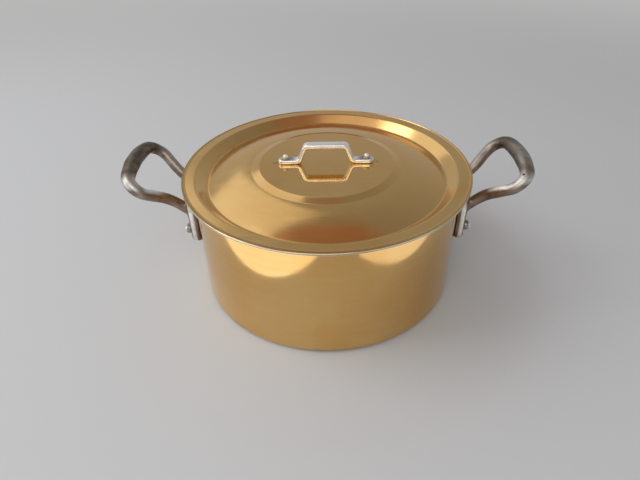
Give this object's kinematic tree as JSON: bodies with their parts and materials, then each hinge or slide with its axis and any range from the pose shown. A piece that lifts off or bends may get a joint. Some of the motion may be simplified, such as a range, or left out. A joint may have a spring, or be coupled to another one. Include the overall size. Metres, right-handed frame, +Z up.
{
  "type": "lidded copper casserole",
  "caption": "Round straight-sided copper cooking pot with looped cast side handles and a flat-flanged lift-off lid with a strap handle.",
  "frame": {"origin": "centre of the base's underside", "axes": "+Z up along the pot's axis, +X along the line through both side handles"},
  "size_m": [0.3582, 0.257, 0.1359],
  "materials": {
    "copper": "polished copper, softly worn, with fine circular polishing marks",
    "lining": "satin bright metal lining",
    "cast_iron": "brown-black cast iron, worn bright on the edges",
    "nickel": "polished white metal",
    "rivet": "bright hammered steel",
    "lid_rivet": "pale bright metal"
  },
  "bodies": {
    "pot": {"copper_body": "copper", "body_lining": "lining", "right_handle": "cast_iron", "left_handle": "cast_iron", "right_front_rivet": "rivet", "right_rear_rivet": "rivet", "left_front_rivet": "rivet", "left_rear_rivet": "rivet"},
    "lid": {"lid_plate": "copper", "lid_lining": "lining", "lid_handle": "nickel", "lid_rivet_left": "lid_rivet", "lid_rivet_right": "lid_rivet"}
  },
  "joints": [
    {"name": "lid_lift", "type": "slide", "parent": "pot", "child": "lid", "axis": [0, 0, 1], "range_m": [0, 0.15]}
  ]
}
